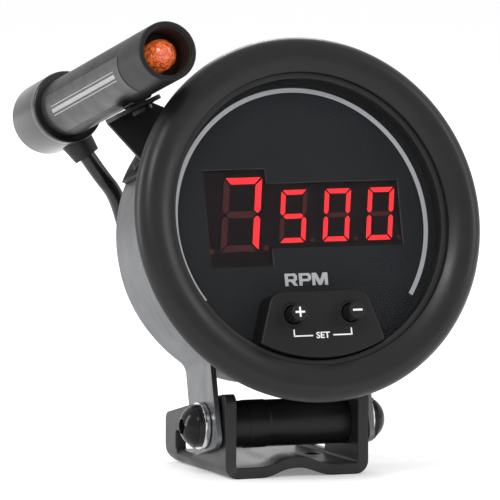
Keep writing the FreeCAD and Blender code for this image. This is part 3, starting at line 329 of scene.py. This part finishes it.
def make_metals():
    """Metals and metallic print. A stretch of fewer cycles along an axis draws the lines that way."""
    brushed("label_grey", dark=(0.036, 0.036, 0.038), light=(0.050, 0.050, 0.053), rough=0.36,
            stretch=(900, 60, 900), relief=0.03, metallic=0.7)
    brushed("label_stripe", dark=(0.26, 0.26, 0.265), light=(0.34, 0.34, 0.345), rough=0.4,
            stretch=(900, 60, 900), relief=0.03, metallic=0.2)
    brushed("strap_steel", dark=(0.125, 0.127, 0.132), light=(0.165, 0.168, 0.174), rough=0.34,
            stretch=(30, 900, 30), relief=0.012)
    brushed("chrome", dark=(0.62, 0.62, 0.63), light=(0.74, 0.74, 0.75), rough=0.14,
            stretch=(700, 700, 700), relief=0.03)
    brushed("steel", dark=(0.3, 0.3, 0.31), light=(0.42, 0.42, 0.43), rough=0.3,
            stretch=(800, 300, 800), relief=0.04)
    brushed("silver_print", dark=(0.40, 0.405, 0.43), light=(0.47, 0.475, 0.50), rough=0.5,
            stretch=(1500, 1500, 1500), relief=0.01, soften=0.0, metallic=0.1)


def make_prints_and_lights():
    """White print, the cut edge of the window, lit segments and unlit ones with a faint painted glow, board,
    lens and amber dome.
    """
    coated("white_print", dark=(0.70, 0.70, 0.70), light=(0.80, 0.80, 0.80), rough=0.5,
           grain=4000.0, relief=0.02, soften=0.0)
    coated("cut_edge", dark=(0.06, 0.06, 0.063), light=(0.09, 0.09, 0.093), rough=0.4,
           grain=4000.0, relief=0.02, soften=0.0)
    glowing("lit", colour=(1.0, 0.022, 0.030), glow=0.95, base=(0.45, 0.01, 0.012))
    # The unlit segments are not lit: their faint red glow is painted light.
    glowing("unlit_painted_glow", colour=(0.055, 0.003, 0.004), glow=0.25, base=(0.028, 0.006, 0.006))
    circuit_board()
    clear_lens()
    amber_lens()


CAD_FINISH = {
    "base_black": ("base_bracket", "pivot_spacer"),
    "bezel_black": ("cup",),
    "bracket_black": ("light_bracket", "bracket_rivets", "light_saddle"),
    "chrome": ("flat_washers",),
    "circuit_board": ("display_board", "main_board", "driver_board"),
    "clear_lens": ("lens",),
    "dial_print": ("dial_face",),
    "filter_smoke": ("window_filter", "big_digit", "small_digits"),
    "gloss_black": ("main_board_chips", "switches"),
    "nylon": ("glide_washers", "board_standoffs", "rear_standoffs", "plus_plunger", "minus_plunger"),
    "pod_black": ("button_pod",),
    "rubber": ("strap_liner", "harness_gland", "cable_grommet", "cable_boot"),
    "screw_black": ("pivot_screws", "lock_washers", "aim_screw"),
    "steel": ("board_screws", "rear_screws"),
    "strap_steel": ("strap",),
    "wall_black": ("inner_wall", "led_holder"),
}


def finish_cad_nodes():
    """Gives each CAD node that stays visible its material."""
    for material, names in CAD_FINISH.items():
        for name in names:
            mesh = nodes[name].data
            mesh.materials.clear()
            mesh.materials.append(MATERIALS[material])


# ---- making pieces -----------------------------------------------------------------------------
def piece(name, bm, material, body, slot, *replaced, sharp=35.0):
    """Turns a bmesh drawn in the head's frame into a piece that rides on a body."""
    bmesh.ops.remove_doubles(bm, verts=bm.verts, dist=1e-5)
    bmesh.ops.recalc_face_normals(bm, faces=bm.faces)
    mesh = bpy.data.meshes.new(name)
    bm.to_mesh(mesh)
    bm.free()
    mesh.transform(HEAD)
    for face in mesh.polygons:
        face.use_smooth = True
    mesh.set_sharp_from_angle(angle=radians(sharp))
    mesh.materials.append(MATERIALS[material])
    obj = bpy.data.objects.new(name, mesh)
    bpy.context.scene.collection.objects.link(obj)
    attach(obj, body)
    if replaced:
        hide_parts(*replaced)


def rounded(points, steps=6):
    """Outline of (a, b, fillet radius) corners as plain points, corners rounded."""
    result = []
    count = len(points)
    for k, (a, b, radius) in enumerate(points):
        here = Vector((a, b))
        before = Vector(points[k - 1][:2])
        after = Vector(points[(k + 1) % count][:2])
        if radius <= 0:
            result.append(here)
            continue
        inward = (before - here).normalized()
        outward = (after - here).normalized()
        half = acos(max(-1.0, min(1.0, inward.dot(outward)))) / 2
        reach = radius / tan(half)
        centre = here + (inward + outward).normalized() * (radius / sin(half))
        start = (here + inward * reach - centre).normalized()
        end = (here + outward * reach - centre).normalized()
        for step in range(steps + 1):
            result.append(centre + start.slerp(end, step / steps) * radius)
    return result


def lathe(outline, x=0.0, z=0.0, segments=192):
    """Closed outline of (radius, y) points turned about the Y direction."""
    on_axis = 1e-6
    bm = bmesh.new()
    rings = []
    for k in range(segments):
        angle = 2 * pi * k / segments
        rings.append([bm.verts.new((x + r * cos(angle), y, z + r * sin(angle))) for r, y in outline])
    count = len(outline)
    for k in range(segments):
        here = rings[k]
        following = rings[(k + 1) % segments]
        for j in range(count):
            i = (j + 1) % count
            if outline[j][0] < on_axis and outline[i][0] < on_axis:
                continue
            bm.faces.new((here[j], here[i], following[i], following[j]))
    return bm


def slab(outline, y0, y1):
    """Flat outline of (x, z) points given a thickness along Y."""
    bm = bmesh.new()
    front = [bm.verts.new((x, y0, z)) for x, z in outline]
    back = [bm.verts.new((x, y1, z)) for x, z in outline]
    bm.faces.new(front)
    bm.faces.new(list(reversed(back)))
    count = len(outline)
    for k in range(count):
        j = (k + 1) % count
        bm.faces.new((front[k], back[k], back[j], front[j]))
    return bm


def bar(x0, x1, z0, z1, y0, y1):
    """Rectangular slab."""
    return slab([(x0, z0), (x1, z0), (x1, z1), (x0, z1)], y0, y1)


def join(parts):
    """One bmesh of several."""
    whole = bmesh.new()
    for part in parts:
        mesh = bpy.data.meshes.new("part")
        part.to_mesh(mesh)
        part.free()
        whole.from_mesh(mesh)
        bpy.data.meshes.remove(mesh)
    return whole


def text_slab(words, x_range, z_range, y, depth, weight):
    """Letters as a thin slab, fitted to a width and height on the dial."""
    curve = bpy.data.curves.new("words", "FONT")
    curve.body = words
    curve.offset = weight
    holder = bpy.data.objects.new("words", curve)
    bpy.context.scene.collection.objects.link(holder)
    bpy.context.view_layer.update()
    flat = bpy.data.meshes.new_from_object(holder.evaluated_get(bpy.context.evaluated_depsgraph_get()))
    bpy.data.objects.remove(holder)
    xs = [v.co.x for v in flat.vertices]
    zs = [v.co.y for v in flat.vertices]
    x_scale = (x_range[1] - x_range[0]) / (max(xs) - min(xs))
    z_scale = (z_range[1] - z_range[0]) / (max(zs) - min(zs))
    left, low = min(xs), min(zs)
    for v in flat.vertices:
        v.co = Vector((x_range[0] + (v.co.x - left) * x_scale, y, z_range[0] + (v.co.y - low) * z_scale))
    bm = bmesh.new()
    bm.from_mesh(flat)
    bpy.data.meshes.remove(flat)
    bmesh.ops.remove_doubles(bm, verts=bm.verts, dist=1e-4)
    grown = bmesh.ops.extrude_face_region(bm, geom=bm.faces[:])
    moved = [g for g in grown["geom"] if isinstance(g, bmesh.types.BMVert)]
    bmesh.ops.translate(bm, verts=moved, vec=(0, depth, 0))
    return bm


# ---- bezel and dial ----------------------------------------------------------------------------
def make_bezel():
    """Domed ring: a quarter oval outside the crest and a shallow curve from the crest to the lip.

    Behind the lip are the pocket for gasket and lens, the channel for the case's flange and the crimp.
    """
    rim_r, rim_y = 49.3, -4.9
    rear_r, rear_y = 47.6, -1.2
    crest_r, crest_y = 44.8, -9.3
    lip_r, lip_y = 39.55, -7.4
    bore_r, bore_y = 39.4, -6.9
    gasket_r, gasket_rear = 38.0, -5.2
    pocket_r, pocket_front, pocket_rear = 42.2, -6.0, -4.7
    channel_r, channel_rear = 46.7, -2.4
    crimp_r = 45.6
    steps = 28
    front = []
    for k in range(steps + 1):
        turn = pi / 2 * k / steps
        front.append((crest_r + (rim_r - crest_r) * cos(turn), rim_y + (crest_y - rim_y) * sin(turn), 0))
    for k in range(1, steps):
        share = k / steps
        front.append((crest_r + (lip_r - crest_r) * share, crest_y + (lip_y - crest_y) * share ** 2, 0))
    outline = rounded([(rear_r, rear_y, 0.25)] + front + [
        (lip_r, lip_y, 0.12), (bore_r, bore_y, 0.12), (bore_r, pocket_front, 0),
        (pocket_r, pocket_front, 0), (pocket_r, pocket_rear, 0), (channel_r, pocket_rear, 0),
        (channel_r, channel_rear, 0), (crimp_r, channel_rear, 0), (crimp_r, rear_y, 0.2),
    ])
    piece("bezel_ring", lathe(outline, segments=256), "bezel_black", "head", "shell_paint", "bezel")
    lens_r = 42.0
    gasket = rounded([(gasket_r, pocket_front, 0.22), (lens_r, pocket_front, 0), (lens_r, gasket_rear, 0),
                      (gasket_r, gasket_rear, 0)])
    piece("gasket_ring", lathe(gasket, segments=256), "rubber", "head", "rubber", "lens_gasket")


def block_letters():
    """R, P and M as wide block letters, each from one to three outlines."""
    low = -17.05
    tall = 3.35
    stem = 0.9               # upright strokes
    stroke = 0.66            # level strokes
    cut = 0.6                # chamfer outside a bowl
    inner_cut = 0.2
    middle = 1.15            # underside of a bowl
    wide = 3.5
    bowl = [
        (stem, tall), (wide - cut, tall), (wide, tall - cut), (wide, middle + cut), (wide - cut, middle),
        (stem, middle), (stem, middle + stroke), (wide - stem - inner_cut, middle + stroke),
        (wide - stem, middle + stroke + inner_cut), (wide - stem, tall - stroke - inner_cut),
        (wide - stem - inner_cut, tall - stroke), (stem, tall - stroke),
    ]
    upright = [(0, 0), (0, tall), (stem, tall), (stem, 0)]
    leg = [(wide - stem - 0.9, middle), (wide - cut - 0.05, middle), (wide + 0.1, 0), (wide - stem, 0)]
    wide_m = 4.5
    half = wide_m / 2
    shoulder = 1.3           # flat top of each side of the M
    valley = 1.35
    point_half = 0.42
    arm = tall - 1.45
    letter_m = [
        (0, 0), (0, tall), (shoulder, tall), (half, valley), (wide_m - shoulder, tall), (wide_m, tall),
        (wide_m, 0), (wide_m - stem, 0), (wide_m - stem, arm), (half + point_half, 0),
        (half - point_half, 0), (stem, arm), (stem, 0),
    ]
    slabs = []
    for start, outlines in ((-6.3, (upright, bowl, leg)), (-2.25, (upright, bowl)), (1.5, (letter_m,))):
        for outline in outlines:
            slabs.append(slab([(start + x, low + z) for x, z in outline], -PRINT_T, 0.0))
    return slabs


def make_dial_print():
    """Silver ring round the dial, open at the bottom, and the unit below the digits."""
    outer = 36.46
    inner = outer - 1.2
    below = 34.6             # degrees that the ring runs on below the level on each side
    steps = 160
    angles = [radians(-below + (180 + 2 * below) * k / steps) for k in range(steps + 1)]
    outline = [(outer * cos(a), outer * sin(a)) for a in angles]
    outline += [(inner * cos(a), inner * sin(a)) for a in reversed(angles)]
    bm = bmesh.new()
    layers = []
    for y in (-PRINT_T, 0.0):
        layers.append([bm.verts.new((x, y, z)) for x, z in outline])
    total = len(outline)
    for k in range(steps):
        for layer in layers:
            bm.faces.new((layer[k], layer[k + 1], layer[total - 2 - k], layer[total - 1 - k]))
    for k in range(total):
        j = (k + 1) % total
        bm.faces.new((layers[0][k], layers[1][k], layers[1][j], layers[0][j]))
    piece("dial_ring", bm, "silver_print", "head", "dial")
    piece("rpm_print", join(block_letters()), "silver_print", "head", "dial")


def window_edge():
    """Bright cut edge of the dial's stepped window."""
    left, step, right = -27.0, -8.85, 29.0
    corners = [(left, -11.7), (step, -11.7), (step, -7.0), (right, -7.0), (right, 10.9), (step, 10.9),
               (step, 14.9), (left, 14.9)]
    thickness = 0.03
    rear = 0.98
    bm = bmesh.new()
    rows = []
    for x, z in corners:
        inner_x = x + (thickness if x == left else -thickness)
        inner_z = z + (thickness if z < 0 else -thickness)
        places = ((x, 0.0, z), (x, rear, z), (inner_x, rear, inner_z), (inner_x, 0.0, inner_z))
        rows.append([bm.verts.new(place) for place in places])
    for k, here in enumerate(rows):
        following = rows[(k + 1) % len(rows)]
        for j in range(4):
            i = (j + 1) % 4
            bm.faces.new((here[j], following[j], following[i], here[i]))
    piece("window_edge", bm, "cut_edge", "head", "dial", sharp=20.0)


# ---- digits ------------------------------------------------------------------------------------
SEGMENTS_OF = {"0": "abcdef", "5": "acdfg", "7": "abc"}
SLANT = tan(radians(8.6))
SEGMENT_FRONT, SEGMENT_REAR = 0.88, 0.99


def segment_outlines(width, height, thick, gap):
    """The seven segments of an upright digit, as outlines of (x, z) points."""
    t, g = thick / 2, gap
    tip = g + 0.1            # how far an outer corner stays from the digit's corner
    w, h = width, height
    half = h / 2

    def flat(z, shape):
        left, right = t * 2, w - t * 2
        if shape == "top":
            return [(tip, z + t), (w - tip, z + t), (right - g, z - t), (left + g, z - t)]
        if shape == "low":
            return [(left + g, z + t), (right - g, z + t), (w - tip, z - t), (tip, z - t)]
        return [(t + g, z), (left + g, z + t), (right - g, z + t), (w - t - g, z), (right - g, z - t),
                (left + g, z - t)]

    def side(x_out, x_in, z_end, sign):
        """sign is 1 for an upper segment and -1 for a lower one."""
        return [(x_out, z_end - sign * tip), (x_in, z_end - sign * (2 * t + g)),
                (x_in, half + sign * (t + g)), ((x_in + x_out) / 2, half + sign * g),
                (x_out, half + sign * (t + g))]

    return {
        "a": flat(h - t, "top"), "d": flat(t, "low"), "g": flat(half, "middle"),
        "f": side(0, 2 * t, h, 1), "b": side(w, w - 2 * t, h, 1),
        "e": side(0, 2 * t, 0, -1), "c": side(w, w - 2 * t, 0, -1),
    }


def disc_outline(x, z, radius, count=20):
    """Round dot as an outline of (x, z) points."""
    turns = [2 * pi * k / count for k in range(count)]
    return [(x + radius * cos(turn), z + radius * sin(turn)) for turn in turns]


def make_digits():
    """Seven-segment digits behind the window: the lit segments and the unlit ones, whose faint glow is
    painted light.
    """
    small_left, small_pitch = -6.6, 12.55
    digits = [("7", -23.6, -7.2, dict(width=10.9, height=19.9, thick=1.75, gap=0.36))]
    for k, character in enumerate("500"):
        small = dict(width=7.5, height=14.2, thick=1.25, gap=0.3)
        digits.append((character, small_left + small_pitch * k, -5.2, small))
    lit, unlit_painted_glow = [], []
    for character, left, low, sizes in digits:
        for name, outline in segment_outlines(**sizes).items():
            slanted = [(left + x + z * SLANT, low + z) for x, z in outline]
            chosen = lit if name in SEGMENTS_OF[character] else unlit_painted_glow
            chosen.append(slab(slanted, SEGMENT_FRONT, SEGMENT_REAR))
    points = ((-26.0, -6.9, 0.8), (-10.4, -6.4, 0.8), (3.2, -4.6, 0.6), (15.6, -4.6, 0.6), (28.1, -4.6, 0.6))
    for x, z, radius in points:
        unlit_painted_glow.append(slab(disc_outline(x, z, radius), SEGMENT_FRONT, SEGMENT_REAR))
    piece("lit_segments", join(lit), "lit", "head", "display")
    # The unlit segments and the dots glow faintly: painted light, as they are not lit.
    piece("faint_segments", join(unlit_painted_glow), "unlit_painted_glow", "head", "display")


# ---- buttons -----------------------------------------------------------------------------------
def make_pod_print():
    """White marks on the button pod: the word between two brackets."""
    y0, y1 = POD_FRONT - 0.08, POD_FRONT
    thick = 0.36
    line_low, tick_high = -31.85, -29.9
    word_half = 1.95
    line_start, line_end = 2.9, BUTTON_X
    marks = [text_slab("SET", (-word_half, word_half), (-32.45, -30.75), y0, y1 - y0, 0.02)]
    for sign in (-1, 1):
        inner, outer = sorted((sign * line_start, sign * line_end))
        marks.append(bar(inner, outer, line_low, line_low + thick, y0, y1))
        tick = sign * line_end
        marks.append(bar(tick - thick / 2, tick + thick / 2, line_low, tick_high, y0, y1))
    piece("pod_print", join(marks), "white_print", "head", "black_plastic")


def make_buttons():
    """Round push buttons with a soft edge and a raised white sign."""
    stop_r, stop_front, stop_rear = 3.4, 1.3, 2.3
    half, thin = 1.35, 0.26              # half the length and half the width of a sign's stroke
    y0, y1 = BUTTON_FRONT - 0.07, BUTTON_FRONT
    for name, x in (("plus", -BUTTON_X), ("minus", BUTTON_X)):
        outline = rounded([
            (0, BUTTON_FRONT, 0), (BUTTON_R, BUTTON_FRONT, 0.5), (BUTTON_R, stop_front, 0),
            (stop_r, stop_front, 0.1), (stop_r, stop_rear, 0.1), (0, stop_rear, 0),
        ])
        piece(f"{name}_cap", lathe(outline, x, BUTTON_Z, 96), "button_black", f"{name}_button",
              "black_plastic", f"{name}_button")
        parts = [bar(x - half, x + half, BUTTON_Z - thin, BUTTON_Z + thin, y0, y1)]
        if name == "plus":
            parts.append(bar(x - thin, x + thin, BUTTON_Z + thin, BUTTON_Z + half, y0, y1))
            parts.append(bar(x - thin, x + thin, BUTTON_Z - half, BUTTON_Z - thin, y0, y1))
        piece(f"{name}_sign", join(parts), "white_print", f"{name}_button", "black_plastic")


# ---- shift light -------------------------------------------------------------------------------
def make_light():
    """Tube, collar, cap, dark lining of the tube's mouth, and the amber dome."""
    x, z = LIGHT
    bore_r, tube_front, tube_rear = 6.7, -23.7, 60.0
    tube = rounded([(bore_r, tube_front, 0.3), (TUBE_R, tube_front, 0.55), (TUBE_R, tube_rear, 0),
                    (bore_r, tube_rear, 0)])
    piece("tube_body", lathe(tube, x, z), "tube_black", "head", "tube", "light_tube")
    collar_front = 54.5
    collar = rounded([(TUBE_R, collar_front, 0), (CAP_R, collar_front, 0.5), (CAP_R, CAP_FRONT, 0.12),
                      (TUBE_R, CAP_FRONT, 0)])
    piece("tube_collar", lathe(collar, x, z), "gloss_black", "head", "black_plastic", "light_collar")
    cap_rear, cap_inside = 74.5, 71.7
    cap = rounded([(TUBE_R, CAP_FRONT, 0), (CAP_R, CAP_FRONT, 0.15), (CAP_R, cap_rear, 2.5),
                   (0, cap_rear, 0), (0, cap_inside, 0), (TUBE_R, cap_inside, 0.5)], 10)
    lining_r, lining_out_r, lining_rear = 6.4, 6.69, -13.7
    lining = [(lining_r, -22.9), (lining_out_r, -23.2), (lining_out_r, lining_rear), (lining_r, lining_rear)]
    piece("light_recess", lathe(lining, x, z), "wall_black", "head", "black_plastic")
    piece("tube_cap", lathe(cap, x, z), "gloss_black", "head", "cap", "light_cap")
    led_r, dome_y = 4.25, -17.8
    flange_r, flange_y, led_rear = 5.2, -12.2, -11.0
    dome = [(led_r * sin(radians(a)), dome_y - led_r * cos(radians(a))) for a in range(0, 91, 5)]
    led = dome + [(led_r, flange_y), (flange_r, flange_y), (flange_r, led_rear), (0, led_rear)]
    piece("led_dome", lathe(led, x, z, 128), "amber_lens", "head", "amber", "light_led")


def curved_panel(radius, thickness, y0, y1, low, high, steps=32):
    """Thin panel that follows the tube, from one angle to another in degrees."""
    x, z = LIGHT
    bm = bmesh.new()
    rows = []
    for k in range(steps + 1):
        angle = radians(low + (high - low) * k / steps)
        row = []
        for r, y in ((radius, y0), (radius, y1), (radius + thickness, y1), (radius + thickness, y0)):
            row.append(bm.verts.new((x + r * cos(angle), y, z + r * sin(angle))))
        rows.append(row)
    for here, following in zip(rows, rows[1:]):
        for j in range(4):
            i = (j + 1) % 4
            bm.faces.new((here[j], here[i], following[i], following[j]))
    bm.faces.new(rows[0])
    bm.faces.new(list(reversed(rows[-1])))
    return bm


def make_label():
    """Plain label panel with three generic stripes: a broad one between two thin ones."""
    panel_t, stripe_r, stripe_t = 0.12, 8.16, 0.05
    panel = curved_panel(TUBE_R, panel_t, -7.0, 50.5, 166, 250)
    piece("label_panel", panel, "label_grey", "head", "label", "light_label")
    stripes = []
    for low, wide in ((189, 2), (195, 8), (207, 2)):
        stripes.append(curved_panel(stripe_r, stripe_t, -3.0, 46.5, low, low + wide))
    piece("label_stripes", join(stripes), "label_stripe", "head", "label")


def make_cable():
    """The light's cable: one smooth line from the boot to the grommet in the cup's rear."""
    route = [
        (-35.376, 63.5, 30.572), (-31.928, 63.5, 24.945), (-27.45, 65.6, 20.5), (-23.65, 70.5, 13.55),
        (-22.1, 71.85, 5.65), (-21.1, 69.6, -1.65), (-20.3, 64.7, -6.95), (-20.0, 58.2, -9.7),
        (-20.0, 51.6, -9.7),
    ]
    curve = bpy.data.curves.new("light_lead", "CURVE")
    curve.dimensions = "3D"
    spline = curve.splines.new("NURBS")
    spline.points.add(len(route) - 1)
    for point, place in zip(spline.points, route):
        spot = HEAD @ Vector(place)
        point.co = (*spot, 1)
    spline.order_u = 3
    spline.use_endpoint_u = True
    spline.resolution_u = 16
    curve.bevel_depth = CABLE_R * MM
    curve.bevel_resolution = 8
    curve.use_fill_caps = True
    curve.materials.append(MATERIALS["cable_skin"])
    obj = bpy.data.objects.new("light_lead", curve)
    bpy.context.scene.collection.objects.link(obj)
    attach(obj, "head")
    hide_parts("light_cable")


make_blacks()
make_metals()
make_prints_and_lights()
make_camera()
make_cable()
make_studio()
finish_cad_nodes()
make_bezel()
make_dial_print()
window_edge()
make_digits()
make_pod_print()
make_buttons()
make_light()
make_label()
bpy.context.scene.view_settings.view_transform = "Standard"
bpy.context.view_layer.update()
